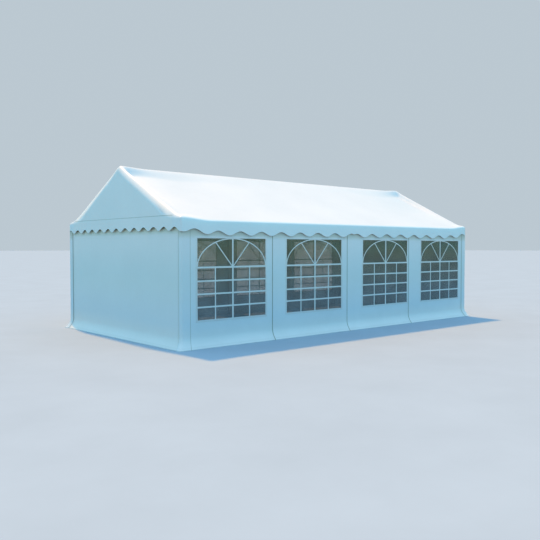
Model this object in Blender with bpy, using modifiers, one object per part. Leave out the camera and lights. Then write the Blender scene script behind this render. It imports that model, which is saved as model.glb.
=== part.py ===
"""Marquee tent, 4 m x 8 m: steel tube frame, white cloth cover with a scalloped valance,
cloth walls that flare at the ground, and clear windows along both long sides.

Metres, +Z up. The origin is on the ground at the middle of the floor. +X runs along the
length, and the front, with its windows, faces -Y.
"""

import math

import bmesh
import bpy

# Overall sizes
LENGTH = 8.0                # outside the end walls
WIDTH = 4.0                 # outside the side walls
BAYS = 4
EAVE_HEIGHT = 2.07          # top of the cover at its side edge
RIDGE_HEIGHT = 3.085        # top of the cover along the ridge

# Cloth
CLOTH = 0.004               # thickness of the cover and of the walls
GAP = 0.0003                # left between pieces that touch
STAND_OFF = 0.03            # the cover's edge hangs this far outside the walls
FOLD_RADIUS = 0.06          # soft fold between roof and gable
FOLD_HEM = 0.02             # the roof cloth runs this far down the gable past the fold
RIDGE_LIFT = 0.025          # how far the cover rises at its gable edges
EAVE_LIFT = 0.042
LIFT_LENGTH = 0.53          # the rise dies away over this length
LIFT_STATIONS = (0.15, 0.3, 0.45, 0.6, 0.8, 1.0)
FOLD_STEPS = 4

# Valance
VALANCE_DROP = 0.1985       # from the eave to the middle of the long sides' scallops
END_VALANCE_DROP = 0.13     # the same on the ends, where the valance hangs higher
CORNER_RISE = 0.055         # the long sides' scallops rise this much toward a corner
CORNER_REACH = 1.0          # and the rise dies away over this length
SCALLOP_HEIGHT = 0.072
SIDE_PITCH = 0.465          # from one scallop to the next on a long side
SIDE_FIRST = 0.25           # from the corner to the first arch
SIDE_RESTART = 0.14         # from mid length to the first arch of the second half
END_PITCH = 0.318
END_FIRST = 0.14
SCALLOP_POINTS = 6

# Walls
WALL_CLEARANCE = 0.006      # between the top of a wall and the underside of the cover
SEAM_LEAD = 0.12            # a wall seam lies this far beside its post
FLARE = 0.09                # how far the foot of a wall stands out
FLARE_HEIGHT = 0.20
FLARE_STATIONS = (0.0, 0.12, 0.26, 0.44, 0.68, 1.0)
CORNER_CLEARANCE = 0.003    # an end wall stops short of the side wall's inner face by this

# Windows
WINDOW_WIDTH = 1.456
WINDOW_BOTTOM = 0.451
WINDOW_TOP = 1.787
WINDOW_LEAD = 0.036         # windows stand this far off their bay's middle, to the right
WINDOW_SHIFT = 0.045        # and those beside mid length this much further apart
FILM = 0.001
FILM_LAP = 0.02             # the film reaches this far behind the wall

# Frame
TUBE_RADIUS = 0.019
SLEEVE_RADIUS = 0.021
SLEEVE_LENGTH = 0.15        # from the middle of a connector to the mouth of its sleeve
SLEEVE_ROOT = 0.004         # the sleeves begin this far from the middle, inside the hub
HUB_RADIUS = 0.024          # the connectors' cross pieces, along X
TUBE_SIDES = 12
FOOT_SIZE = 0.10
FOOT_THICKNESS = 0.005

# Worked out from the sizes above
HALF_LENGTH = LENGTH / 2
HALF_WIDTH = WIDTH / 2
BAY = LENGTH / BAYS
COVER_HALF_LENGTH = HALF_LENGTH + STAND_OFF
COVER_HALF_WIDTH = HALF_WIDTH + STAND_OFF
FOLD_START = COVER_HALF_LENGTH - FOLD_RADIUS
SLOPE = (RIDGE_HEIGHT - EAVE_HEIGHT) / COVER_HALF_WIDTH
PITCH = math.atan(SLOPE)
COLUMN_INSET = CLOTH + GAP + HUB_RADIUS
COLUMN_Y = HALF_WIDTH - COLUMN_INSET
END_FRAME_X = HALF_LENGTH - COLUMN_INSET
AXIS_DROP = (CLOTH + GAP + HUB_RADIUS) / math.cos(PITCH)

FRONT, BACK = 0.0, math.pi


def clear_scene():
    """Remove the objects that the file holds."""
    for old in list(bpy.data.objects):
        bpy.data.objects.remove(old, do_unlink=True)


def new_collection(name, hidden=False):
    """A collection linked to the scene."""
    collection = bpy.data.collections.new(name)
    bpy.context.scene.collection.children.link(collection)
    collection.hide_render = hidden
    return collection


def principled(name, colour, roughness, metallic=0.0, alpha=1.0):
    """A plain Principled BSDF material."""
    material = bpy.data.materials.new(name)
    material.use_nodes = True
    shader = material.node_tree.nodes["Principled BSDF"]
    shader.inputs["Base Color"].default_value = (*colour, 1.0)
    shader.inputs["Roughness"].default_value = roughness
    shader.inputs["Metallic"].default_value = metallic
    shader.inputs["Alpha"].default_value = alpha
    return material


def add_object(name, data, collection, material, parent=None):
    """An object that holds data, with its material and its parent."""
    piece = bpy.data.objects.new(name, data)
    collection.objects.link(piece)
    if material is not None:
        data.materials.append(material)
    piece.parent = parent
    return piece


def turned_empty(name, collection, turn):
    """An empty at the origin that turns one side's pieces about Z."""
    empty = bpy.data.objects.new(name, None)
    empty.rotation_euler.z = turn
    collection.objects.link(empty)
    return empty


def sheet(name, columns, rows, place, thickness, offset, collection, material, parent):
    """A grid whose points are set by place(column, row), made solid by Solidify."""
    bm = bmesh.new()
    bmesh.ops.create_grid(bm, x_segments=columns - 1, y_segments=rows - 1, size=0.5)
    for vert in bm.verts:
        column = round((vert.co.x + 0.5) * (columns - 1))
        row = round((vert.co.y + 0.5) * (rows - 1))
        vert.co = place(column, row)
    mesh = bpy.data.meshes.new(name)
    bm.to_mesh(mesh)
    bm.free()
    piece = add_object(name, mesh, collection, material, parent)
    solidify = piece.modifiers.new("thickness", "SOLIDIFY")
    solidify.thickness = thickness
    solidify.offset = offset
    solidify.use_even_offset = True
    return piece


def flat_outline(name, points, thickness, collection, material, parent):
    """A filled 2D curve of the given thickness, standing in the XZ plane and facing -Y."""
    curve = bpy.data.curves.new(name, "CURVE")
    curve.dimensions = "2D"
    curve.fill_mode = "BOTH"
    curve.extrude = thickness / 2
    curve.render_resolution_u = 0
    spline = curve.splines.new("POLY")
    spline.points.add(len(points) - 1)
    for point, (across, up) in zip(spline.points, points):
        point.co = (across, up, 0.0, 1.0)
    spline.use_cyclic_u = True
    piece = add_object(name, curve, collection, material, parent)
    piece.rotation_euler.x = math.pi / 2
    return piece


def box(name, low, high, collection, material=None, parent=None):
    """A box between two corners, from a cube primitive."""
    bm = bmesh.new()
    bmesh.ops.create_cube(bm, size=1.0)
    for vert in bm.verts:
        vert.co = [a + (b - a) * (c + 0.5) for a, b, c in zip(low, high, vert.co)]
    mesh = bpy.data.meshes.new(name)
    bm.to_mesh(mesh)
    bm.free()
    return add_object(name, mesh, collection, material, parent)


def tube(name, start, end, radius, collection):
    """A straight round bar between two points in one plane of Y and Z, or along X."""
    across = [b - a for a, b in zip(start, end)]
    length = math.sqrt(sum(c * c for c in across))
    bm = bmesh.new()
    bmesh.ops.create_cone(
        bm, cap_ends=True, segments=TUBE_SIDES, radius1=radius, radius2=radius, depth=length
    )
    mesh = bpy.data.meshes.new(name)
    bm.to_mesh(mesh)
    bm.free()
    mesh.shade_smooth()
    mesh.set_sharp_from_angle(angle=math.radians(40))
    piece = add_object(name, mesh, collection, None)
    piece.location = [(a + b) / 2 for a, b in zip(start, end)]
    if abs(across[0]) > 0:
        piece.rotation_euler = (0.0, math.pi / 2, 0.0)
    else:
        piece.rotation_euler = (math.atan2(-across[1], across[2]), 0.0, 0.0)
    return piece


def fuse(name, pieces):
    """One mesh from overlapping pieces, by a Boolean union of all of them."""
    base = pieces[0]
    for other in pieces[1:]:
        union = base.modifiers.new(other.name, "BOOLEAN")
        union.operation = "UNION"
        union.solver = "EXACT"
        union.object = other
    bpy.context.view_layer.update()
    graph = bpy.context.evaluated_depsgraph_get()
    mesh = bpy.data.meshes.new_from_object(base.evaluated_get(graph))
    mesh.transform(base.matrix_world)
    mesh.name = name
    for piece in pieces:
        bpy.data.objects.remove(piece, do_unlink=True)
    return mesh


def cover_top(y):
    """Height of the cover's outer face, away from the gable edges."""
    return RIDGE_HEIGHT - SLOPE * abs(y)


def lift(from_end, y):
    """Rise of the cover near its gable edge: full at the edge, none past LIFT_LENGTH.

    It dies away along a smooth S, flat at both ends.
    """
    share = min(max(1.0 - from_end / LIFT_LENGTH, 0.0), 1.0)
    toward_eave = abs(y) / COVER_HALF_WIDTH
    full = RIDGE_LIFT + (EAVE_LIFT - RIDGE_LIFT) * toward_eave
    return full * share * share * (3.0 - 2.0 * share)


def flare(height):
    """How far a wall stands out at a height above the ground."""
    return FLARE * max(1.0 - height / FLARE_HEIGHT, 0.0) ** 2


def seam_x(index):
    """Where wall panel number index begins on the front, counted from the left corner."""
    if index == 0:
        return -HALF_LENGTH
    if index == BAYS:
        return HALF_LENGTH
    return -HALF_LENGTH + index * BAY - SEAM_LEAD


def window_x(index):
    """Middle of a bay's window, which is a little off the bay's own middle."""
    middle = -HALF_LENGTH + (index + 0.5) * BAY
    beside_middle = abs(middle) < BAY
    return middle + WINDOW_LEAD + math.copysign(WINDOW_SHIFT, middle) * beside_middle


def frame_x(index):
    """Where portal number index stands; the end ones stand just inside the end walls."""
    return min(max(-HALF_LENGTH + index * BAY, -END_FRAME_X), END_FRAME_X)


def scallop(distance, first, pitch, drop):
    """Height of a valance's edge against the eave: a wave with its arches at first + n pitch."""
    wave = math.cos(2 * math.pi * (distance - first) / pitch)
    return -drop + SCALLOP_HEIGHT / 2 * wave


def side_scallop(x):
    """The long sides' wave, which starts anew at the joint of the two halves.

    Toward both corners it rises along a parabola.
    """
    joint = SIDE_RESTART / 2
    first = -HALF_LENGTH + SIDE_FIRST if x < joint else SIDE_RESTART
    near_corner = max(1.0 - (HALF_LENGTH - abs(x)) / CORNER_REACH, 0.0)
    rise = CORNER_RISE * min(near_corner, 1.0) ** 2
    return scallop(x, first, SIDE_PITCH, VALANCE_DROP) + rise


def edge_points(half_span, pitch):
    """Places across an edge, evenly spaced from its middle, SCALLOP_POINTS or more to a scallop."""
    half = math.ceil(half_span / pitch * SCALLOP_POINTS)
    return [half_span * i / half for i in range(-half, half + 1)]


def fold_angles():
    """Angles along the quarter round fold, from the gable's face up to the slope."""
    return [math.pi / 2 * step / FOLD_STEPS for step in range(FOLD_STEPS + 1)]


def cover_strip(name, stations, collection, material, parent):
    """A strip of one slope, from the eave to the ridge.

    Each station is its x, how far the cloth has turned down there, and how far the station
    lies inside the gable fold.
    """
    ridge_y = GAP / 2 + CLOTH * math.sin(PITCH)
    lines = (-COVER_HALF_WIDTH, -ridge_y)

    def place(column, row):
        x, drop, inward = stations[column]
        y = lines[row]
        return x, y, cover_top(y) + lift(inward, y) - drop / math.cos(PITCH)

    return sheet(name, len(stations), 2, place, CLOTH, -1.0, collection, material, parent)


def make_roof_panel(name, collection, material, parent):
    """The flat middle of one slope, between the two lifted gable edges."""
    end = FOLD_START - LIFT_LENGTH - GAP / 2
    stations = [(x, 0.0, LIFT_LENGTH) for x in (-end, end)]
    cover_strip(name, stations, collection, material, parent)


def make_gable_edge(name, side, collection, material, parent):
    """The end of one slope: it lifts toward the gable, then folds down round a quarter circle.

    side is -1 for the end at -X and 1 for the end at +X, before the parent turns it.
    """
    stations = [(side * COVER_HALF_LENGTH, FOLD_RADIUS + FOLD_HEM, 0.0)]
    for angle in fold_angles():
        out = FOLD_START + FOLD_RADIUS * math.cos(angle)
        stations.append((side * out, FOLD_RADIUS * (1 - math.sin(angle)), 0.0))
    for share in LIFT_STATIONS:
        inward = LIFT_LENGTH * share
        out = FOLD_START - inward
        if share == LIFT_STATIONS[-1]:
            out += GAP / 2
        stations.append((side * out, 0.0, inward))
    if side > 0:
        stations.reverse()
    cover_strip(name, stations, collection, material, parent)


def make_valance(name, collection, material, parent):
    """The scalloped strip under a long eave, its top following the underside of the cover."""
    end = COVER_HALF_LENGTH - CLOTH - GAP
    bottom = [(x, EAVE_HEIGHT + side_scallop(x)) for x in edge_points(end, SIDE_PITCH)]
    under_cover = EAVE_HEIGHT - CLOTH * math.cos(PITCH) - GAP
    right = []
    for angle in fold_angles():
        x = FOLD_START + (FOLD_RADIUS - CLOTH - GAP) * math.cos(angle)
        sink = FOLD_RADIUS / math.cos(PITCH) - CLOTH * math.cos(PITCH)
        rise = lift(0.0, COVER_HALF_WIDTH) - sink * (1 - math.sin(angle))
        right.append((x, under_cover + rise))
    for share in LIFT_STATIONS:
        inward = LIFT_LENGTH * share
        right.append((FOLD_START - inward, under_cover + lift(inward, COVER_HALF_WIDTH)))
    upper = right + [(-x, z) for x, z in reversed(right)]
    piece = flat_outline(name, bottom + upper, CLOTH, collection, material, parent)
    piece.location.y = -COVER_HALF_WIDTH + CLOTH / 2
    return piece


def make_gable_panel(name, collection, material, parent):
    """The end of the cover: a triangle with the end valance below it, in one flat sheet."""
    across = edge_points(COVER_HALF_WIDTH, END_PITCH)
    under_fold = (FOLD_RADIUS + FOLD_HEM + GAP) / math.cos(PITCH)

    def place(column, row):
        y = -across[column]
        if row == 0:
            wave = scallop(HALF_WIDTH + y, END_FIRST, END_PITCH, END_VALANCE_DROP)
            return -COVER_HALF_LENGTH, y, EAVE_HEIGHT + wave
        return -COVER_HALF_LENGTH, y, cover_top(y) + lift(0.0, y) - under_fold

    return sheet(name, len(across), 2, place, CLOTH, -1.0, collection, material, parent)


def wall_heights(top):
    """Heights of a wall's rows: close together in the flare, then the top."""
    return [FLARE_HEIGHT * share for share in FLARE_STATIONS] + [top]


def wall_top(y):
    """Top of a wall, a little under the cover, so that it hangs from the connectors."""
    return cover_top(y) - CLOTH / math.cos(PITCH) - WALL_CLEARANCE


def make_side_wall(name, index, collection, cutters, material, parent):
    """One bay of a long wall, with its window cut through and its foot flared."""
    heights = wall_heights(wall_top(HALF_WIDTH))
    left, right = seam_x(index), seam_x(index + 1)
    inner = HALF_WIDTH - CLOTH

    def place(column, row):
        out = flare(heights[row])
        if column == 0:
            x = left - out if index == 0 else left + GAP / 2
        else:
            x = right + out if index == BAYS - 1 else right - GAP / 2
        return x, -inner - out, heights[row]

    wall = sheet(name, 2, len(heights), place, CLOTH, 1.0, collection, material, parent)
    middle = window_x(index)
    cutter = box(
        name + "_opening",
        (middle - WINDOW_WIDTH / 2, -HALF_WIDTH - CLOTH, WINDOW_BOTTOM),
        (middle + WINDOW_WIDTH / 2, -HALF_WIDTH + 2 * CLOTH, WINDOW_TOP),
        cutters,
        parent=parent,
    )
    cutter.hide_render = True
    cutter.display_type = "WIRE"
    cut = wall.modifiers.new("window", "BOOLEAN")
    cut.operation = "DIFFERENCE"
    cut.solver = "EXACT"
    cut.object = cutter
    return wall


def make_window_film(name, index, collection, material, parent):
    """The clear film behind a window opening, against the wall's inner face."""
    face = -(HALF_WIDTH - CLOTH - GAP)
    reach = WINDOW_WIDTH / 2 + FILM_LAP
    middle = window_x(index)
    low = (middle - reach, face, WINDOW_BOTTOM - FILM_LAP)
    high = (middle + reach, face + FILM, WINDOW_TOP + FILM_LAP)
    return box(name, low, high, collection, material, parent)


def make_end_wall(name, collection, material, parent):
    """A plain end wall up to the slopes of the roof, between the two side walls."""
    inner = HALF_LENGTH - CLOTH
    eave_line = HALF_WIDTH - CLOTH - CORNER_CLEARANCE
    across = (1.0, 0.0, -1.0)

    def place(column, row):
        side = across[column]
        if row == len(FLARE_STATIONS):
            y = side * eave_line
            return -inner, y, wall_top(y)
        height = FLARE_HEIGHT * FLARE_STATIONS[row]
        out = flare(height)
        return -inner - out, side * (eave_line + out), height

    rows = len(FLARE_STATIONS) + 1
    return sheet(name, len(across), rows, place, CLOTH, 1.0, collection, material, parent)


def roof_frame_mesh(name, collection, hub_from, hub_to, material):
    """Two rafters fused to their ridge and eave connectors, at x = 0.

    hub_from and hub_to are where the connectors' sleeves begin and end along X.
    """
    ridge = (0.0, 0.0, RIDGE_HEIGHT - AXIS_DROP)
    hub_start = (hub_from, 0.0, ridge[2])
    hub_end = (hub_to, 0.0, ridge[2])
    pieces = [tube("ridge_hub", hub_start, hub_end, HUB_RADIUS, collection)]
    for side in (-1, 1):
        eave = (0.0, side * COLUMN_Y, cover_top(COLUMN_Y) - AXIS_DROP)
        run = math.hypot(eave[1] - ridge[1], eave[2] - ridge[2])

        def along(distance):
            return tuple(a + (b - a) * distance / run for a, b in zip(ridge, eave))

        inside = SLEEVE_LENGTH / 2
        leg_root = (0.0, eave[1], eave[2] - SLEEVE_ROOT)
        leg_mouth = (0.0, eave[1], eave[2] - SLEEVE_LENGTH)
        hub_start = (hub_from, eave[1], eave[2])
        hub_end = (hub_to, eave[1], eave[2])
        runs = (
            ("ridge_sleeve", along(SLEEVE_ROOT), along(SLEEVE_LENGTH), SLEEVE_RADIUS),
            ("rafter", along(inside), along(run - inside), TUBE_RADIUS),
            ("eave_sleeve", along(run - SLEEVE_LENGTH), along(run - SLEEVE_ROOT), SLEEVE_RADIUS),
            ("eave_hub", hub_start, hub_end, HUB_RADIUS),
            ("leg_sleeve", leg_mouth, leg_root, SLEEVE_RADIUS),
        )
        pieces += [tube(kind, start, stop, radius, collection) for kind, start, stop, radius in runs]
    mesh = fuse(name, pieces)
    mesh.materials.append(material)
    return mesh


def make_roof_frames(collection, material):
    """One frame at each post line. An end frame's connectors reach inward only."""
    middle = roof_frame_mesh("middle_frame", collection, -SLEEVE_LENGTH, SLEEVE_LENGTH, material)
    end = roof_frame_mesh("end_frame", collection, -HUB_RADIUS, SLEEVE_LENGTH, material)
    for index in range(BAYS + 1):
        is_end = index in (0, BAYS)
        frame = bpy.data.objects.new(f"roof_frame_{index + 1}", end if is_end else middle)
        collection.objects.link(frame)
        frame.location.x = frame_x(index)
        if index == BAYS:
            frame.rotation_euler.z = math.pi


def make_purlins(collection, material):
    """The bars between the frames, at the ridge and at both eaves."""
    eave_z = cover_top(COLUMN_Y) - AXIS_DROP
    lines = {
        "ridge": (0.0, RIDGE_HEIGHT - AXIS_DROP),
        "front_eave": (-COLUMN_Y, eave_z),
        "back_eave": (COLUMN_Y, eave_z),
    }
    for line, (y, z) in lines.items():
        for index in range(BAYS):
            start = (frame_x(index) + SLEEVE_LENGTH + GAP, y, z)
            end = (frame_x(index + 1) - SLEEVE_LENGTH - GAP, y, z)
            bar = tube(f"{line}_purlin_{index + 1}", start, end, TUBE_RADIUS, collection)
            bar.data.materials.append(material)


def leg_mesh(collection, material):
    """A post on its foot plate, standing at the origin."""
    top = cover_top(COLUMN_Y) - AXIS_DROP - SLEEVE_LENGTH - GAP
    half = FOOT_SIZE / 2
    post = tube("post", (0.0, 0.0, FOOT_THICKNESS / 2), (0.0, 0.0, top), TUBE_RADIUS, collection)
    plate = box("plate", (-half, -half, 0.0), (half, half, FOOT_THICKNESS), collection)
    mesh = fuse("leg", [post, plate])
    mesh.materials.append(material)
    return mesh


def make_legs(collection, material):
    """A post under each end of each frame."""
    mesh = leg_mesh(collection, material)
    for side, y in (("front", -COLUMN_Y), ("back", COLUMN_Y)):
        for index in range(BAYS + 1):
            leg = bpy.data.objects.new(f"leg_{side}_{index + 1}", mesh)
            collection.objects.link(leg)
            leg.location = (frame_x(index), y, 0.0)


def main():
    clear_scene()
    tent = new_collection("marquee_tent")
    cutters = new_collection("cutters", hidden=True)
    steel = principled("galvanised_steel", (0.62, 0.64, 0.66), 0.35, metallic=0.9)
    cover = principled("cover_cloth", (0.93, 0.95, 0.97), 0.45)
    wall = principled("wall_cloth", (0.90, 0.93, 0.95), 0.5)
    film = principled("window_film", (0.80, 0.86, 0.88), 0.08, alpha=0.25)

    make_legs(tent, steel)
    make_roof_frames(tent, steel)
    make_purlins(tent, steel)
    for side, turn in (("front", FRONT), ("back", BACK)):
        pivot = turned_empty(f"{side}_side", tent, turn)
        make_roof_panel(f"roof_panel_{side}", tent, cover, pivot)
        for hand in (-1, 1):
            end = "left" if hand * math.cos(turn) < 0 else "right"
            make_gable_edge(f"gable_edge_{side}_{end}", hand, tent, cover, pivot)
        make_valance(f"valance_{side}", tent, cover, pivot)
        for index in range(BAYS):
            number = index + 1
            make_side_wall(f"wall_{side}_{number}", index, tent, cutters, wall, pivot)
            make_window_film(f"window_{side}_{number}", index, tent, film, pivot)
    for end, turn in (("left", FRONT), ("right", BACK)):
        pivot = turned_empty(f"{end}_end", tent, turn)
        make_gable_panel(f"gable_panel_{end}", tent, cover, pivot)
        make_end_wall(f"end_wall_{end}", tent, wall, pivot)


main()
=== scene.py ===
"""Looks of a marquee tent: one white cover with scalloped valances, cloth walls that flare at
the ground, clear windows with welded bars, and the galvanised frame that carries them.

Metres, +Z up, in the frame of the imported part: the front, with its windows, faces -Y.
"""

import math

import bpy
import numpy as np
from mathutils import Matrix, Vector


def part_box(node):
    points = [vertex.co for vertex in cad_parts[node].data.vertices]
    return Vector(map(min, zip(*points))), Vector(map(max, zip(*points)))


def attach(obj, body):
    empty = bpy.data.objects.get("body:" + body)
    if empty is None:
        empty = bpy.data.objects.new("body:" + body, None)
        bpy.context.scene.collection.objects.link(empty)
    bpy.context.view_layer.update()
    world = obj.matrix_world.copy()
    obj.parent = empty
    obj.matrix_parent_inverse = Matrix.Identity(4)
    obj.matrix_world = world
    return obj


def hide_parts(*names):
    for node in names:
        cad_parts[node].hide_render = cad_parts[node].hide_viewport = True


bl_info = {
    "name": "Marquee tent looks",
    "version": (1, 0, 0),
    "blender": (4, 5, 0),
    "location": "View3D > Sidebar > Marquee",
    "description": "Dresses the packed marquee tent in cloth, film and steel",
    "category": "Object",
}

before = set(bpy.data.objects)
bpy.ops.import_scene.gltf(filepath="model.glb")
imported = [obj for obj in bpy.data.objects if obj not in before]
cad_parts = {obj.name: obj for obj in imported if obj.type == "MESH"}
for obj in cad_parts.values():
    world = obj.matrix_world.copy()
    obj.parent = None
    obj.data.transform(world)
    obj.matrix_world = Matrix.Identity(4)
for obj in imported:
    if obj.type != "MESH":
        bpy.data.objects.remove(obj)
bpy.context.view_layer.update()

# Whole tent: outer faces of the cover, from the part's own solids, and of the walls
COVER_X = -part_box("gable_panel_left")[0].x
COVER_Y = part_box("valance_back")[1].y
BAYS = 4
BAY = 2.0
WALL_X = BAYS * BAY / 2
WALL_Y = 2.0
EAVE_HEIGHT = 2.07
RIDGE_HEIGHT = 3.085
SLOPE = (RIDGE_HEIGHT - EAVE_HEIGHT) / COVER_Y

# Roof
SLOPE_STRETCH = 1.118       # cloth along the slope for a metre across
RIDGE_ROUND = 0.02          # half width of the ridge's round
RIDGE_LIFT = 0.022          # rise of the cover at its peaks
RAKE_LIFT = 0.004           # the same along the rafters, where the cloth lies on the tube
EAVE_LIFT = 0.042           # and at the eave corners
LIFT_LENGTH = 0.55          # how far in from a gable these rises reach
PEAK_RUN = 0.28             # how far down a rafter the peak's rise reaches
CORNER_RUN = (1.83, 0.18)   # where the corner's rise begins on it, and its run
HOLLOW_START = (0.02, 0.022, 0.10)  # hollow below the ridge: its start out from the ridge, its
                                    # start in from the fold, and how soon it is there
HOLLOW_DEPTH = (0.003, 0.120)       # its trace along the roof, and what a peak adds
HOLLOW_FADE = 0.5                   # distance in from a gable over which that fades
HOLLOW_RUN = (0.12, 0.31)           # its way down the slope: at a gable, growth per metre in
HOLLOW_RISE = (0.30, 1.70)          # where its way back up begins, and the run of that
HOLLOW_SHADE = (0.85, 0.40)         # its greatest shade, and the share left on its far side
SHADE_ALONG = (0.12, 0.3)           # how far in from a gable's roll that is full, and fades
SHADE_DOWN = (0.25, 1.10)           # where down the slope its far side fades, over what run

# Rolls of the cover over its four sides
FOLD_X = 0.055              # reach of the roll at a corner, in from the gable's face
FOLD_Y = 0.04               # the same, in from the eave
EAVE_ROLL = 0.022           # depth of the roll over the eave
ROLL_STEPS = 6              # rows of points across a roll
ROLL_DEPTH = (0.12, 0.06)   # depth of the roll over a gable: at the ridge, growth per metre
ROLL_GAIN = (0.05, 1.2, 0.5)        # what it gains toward the eaves, from where, over what run
ROLL_REACH = 0.08           # its reach, in from the gable's face
ROLL_CLOSING = 0.35         # length over which that closes to FOLD_X before a corner
ROLL_END = (2.15, 2.088)    # lowest height of the roll: in the gable's middle, at the corners
ROLL_DIP = (1.15, 0.55)     # where it goes from the one to the other, and over what run
ROLL_SHARPNESS = 60         # of the bend where it meets that height
ROLL_SOFT_END = 0.20        # length over which its softness dies away before a corner
ROLL_SHADE = (0.05, 0.86)   # share of a roll where its shade begins and is full
ROLL_SEEN = (43, 67)        # what a step in and a step down count, as the roll shows from a side
ROLL_BENDS = (1.2, 61)      # greatest bend tried for its normal, and how many are tried

# Columns of points on the cover: so many to a scallop, and more beside a gable and the ridge
SCALLOP_COLUMNS = 10
GABLE_COLUMNS = (0.012, 0.026, 0.042, 0.06, 0.08, 0.102, 0.126, 0.155, 0.19)    # from its fold
RIDGE_COLUMNS = (0.007, 0.014, 0.022, 0.032, 0.045, 0.06, 0.08)                 # from the ridge
GIVES_WAY = (0.35, 0.3)     # share of a step within which an even line gives way to an extra
                            # one, on the cover and on the walls

# Gables and valances
SEAM_HEIGHT = 2.15          # weld between a gable's triangle and its valance
WELD_STEP = 0.0015          # how far the valance stands out below it
WELD_MARK = (0.003, 0.008, 0.62)        # its line: full so near, none so far off, strength
WELD_ROWS = (0.007, 0.002, -0.003, -0.008)      # rows of points over and under the weld
TRIANGLE_ROWS = 9           # steps down to the first of them
VALANCE_ROWS = (0.25, 0.5, 0.75, 0.94, 1.0)     # rows below the last, as shares of the way down
SEAM_DROP = 0.02            # how far the rows of the weld stay below the roof
SEAM_SHARPNESS = 150        # of their bend where the roof comes down to them
WELD_END = 0.03             # height of the cover over the weld where its step ends
GABLE_HALF = 1.82           # half width of the cloth with the gable's weld mark and painted warm light
GABLE_EDGE = 0.05           # length over which that ends
GABLE_START = (0.5, 0.2)    # share of its roll where it begins, over what share
EAVE_SKY_LIGHT_START = (1.98, 0.04)   # where the eave's painted sky light begins, out from the ridge, and its run
EAVE_SKY_LIGHT_FALL = 0.10            # length of valance down which it halves
SIDE_WAVE = (1.8715, 0.0365, 0.465)     # scallops: middle height, half height, pitch
END_WAVE = (1.943, 0.0335, 0.318)
SIDE_ARCHES = (-3.75, 0.14)             # first arch of each half of a long side
JOINT_X = 0.055                         # where the two halves meet
SIDE_RISE = 0.056                       # rise of the edge toward a long side's corners
END_ARCH = 1.86                         # first arch from the middle of a gable
END_RISE = -0.013                       # rise of its edge toward its right-hand corner
FLUTTER = (0.0025, 0.93, 1.3)           # how far the valance swings, over what length, its phase
FLUTTER_FALL = 0.2                      # how far down the valance that is reached

# Walls
WALL_TOP = 2.055            # top edge of a long wall
FLARE = 0.09                # how far the walls stand out on the ground
FLARE_HEIGHT = 0.20         # height where that begins
FLARE_ROWS = (0.0, 0.012, 0.024, 0.034, 0.042, 0.06, 0.08, 0.10, 0.125, 0.15, 0.175, 0.2, 0.24)
CORNER_ROUND = (0.044, 0.010)   # round of a long wall's left and right ends
CORNER_GROWTH = (0.25, 0.0)     # how the rounds grow as the cloth stands out
CORNER_SLACK = 0.022            # how far the cloth stands off the leg at the right end
SLACK_RUN = (0.19, 0.055)       # length over which it does so before the corner, and after it
SLACK_END = (1.57, 1.2)         # turn where it comes back, in radians, and how late, in runs
STRETCH = 0.28              # length over which the flare stretches cloth toward a corner
RETURN_EDGE = 1.929         # where a long wall's return ends on an end wall, from its middle
RETURN_GROWTH = 8           # how a return lengthens with how far it stands out
SEAMS = (-2.076, -0.115, 1.862)     # where the bays of a long wall meet
LAP = 0.028                 # how far a bay runs on under the next
LAP_STEP = (0.0022, 0.04)   # how far a bay's left edge stands out, and over what length
TUCK = (0.0012, 0.02)       # how far a bay draws in to go under the next, over what length
LAP_MARKS = (0.009, 0.012)      # reach of a bay's mark at its left edge, and at the next bay's
WELD_LINES = (-3.826, 3.886)    # upright welds near the corners
WELD_WIDTHS = (0.007, 0.017)    # how far the mark of each reaches to either side
WELD_DEPTH = 0.0012             # how far they are pressed into the cloth
WELD_STRENGTH = 0.8             # strength of their marks
WALL_GRID = (0.05, 0.06)        # spacing of a wall's lines of points: along it, up it
BESIDE = (-0.014, -0.007, 0.0, 0.007, 0.014)    # more lines beside a seam or a weld
HEM = (0.034, 0.009, 0.12)      # hem's weld: height, reach of its mark, strength of its mark
UPRIGHT_LEAST = 0.25                    # strength of a corner seam's mark on the ground
UPRIGHT_MARK = (0.55, 0.03, 0.20)       # what it gains, the height where that begins, its rise
RIPPLE_WAVES = ((0.5, 0.83, 1.0), (0.3, 0.47, 2.1), (0.2, 0.29, 3.7))   # share, length, phase
RIPPLE_LEAST = 0.25         # share of them that is left up the wall
RIPPLE_FADE = (1.6, 0.35)   # height where only that is left, in runs of their fading, and the run
STEADY = (0.40, 1.85)       # between these heights the cloth beside a window has no ripples
STEADY_RUN = (0.12, 0.1)    # length over which they come in, above and below, and to the side

# Shade below the valance: its amount, the height where it begins, and its rise
SIDE_TOP_MARK = (0.38, 1.86, 0.045)
SIDE_TOP_TINT = (0.36, 1.755, 0.10)
END_TOP_MARK = (0.95, 1.925, 0.05)
END_TOP_TINT = (0.50, 1.82, 0.11)

# End walls
END_HALF = WALL_Y - 0.045   # half the width of an end wall, which ends behind the returns
END_GAP = 0.070             # how far its top stays below the roof
END_BACK = 0.0035           # how far it lies in from the returns
END_SLACK = 0.008           # how far it falls back behind the valance
SLACK_UP = (0.11, 0.04)     # length over which it does so above the shoulder's foot, and comes
                            # back below its top
SLACK_SIDE = (1.90, 0.10)   # that far from its middle it no longer does, over what length
RIPPLE_SIDE = (1.93, 0.15)  # the same for its ripples
RIPPLE_MORE = 1.2           # its ripples, as a multiple of a long wall's
RETURN_MARK = (0.006, 0.010)        # mark of a return's edge: how far in it lies, its reach
RETURN_COLUMNS = (1.914, 1.921)     # more lines of points beside that edge
SHOULDER = (1.86, 2.08)     # heights between which its rows close up toward the corners
SHOULDER_GAP = 0.03         # how far the last of them stays below its top
END_ROWS = (1.84, 26, 12, 8)        # top and number of its level rows, and the numbers of those
                                    # in the shoulder and above it

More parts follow.
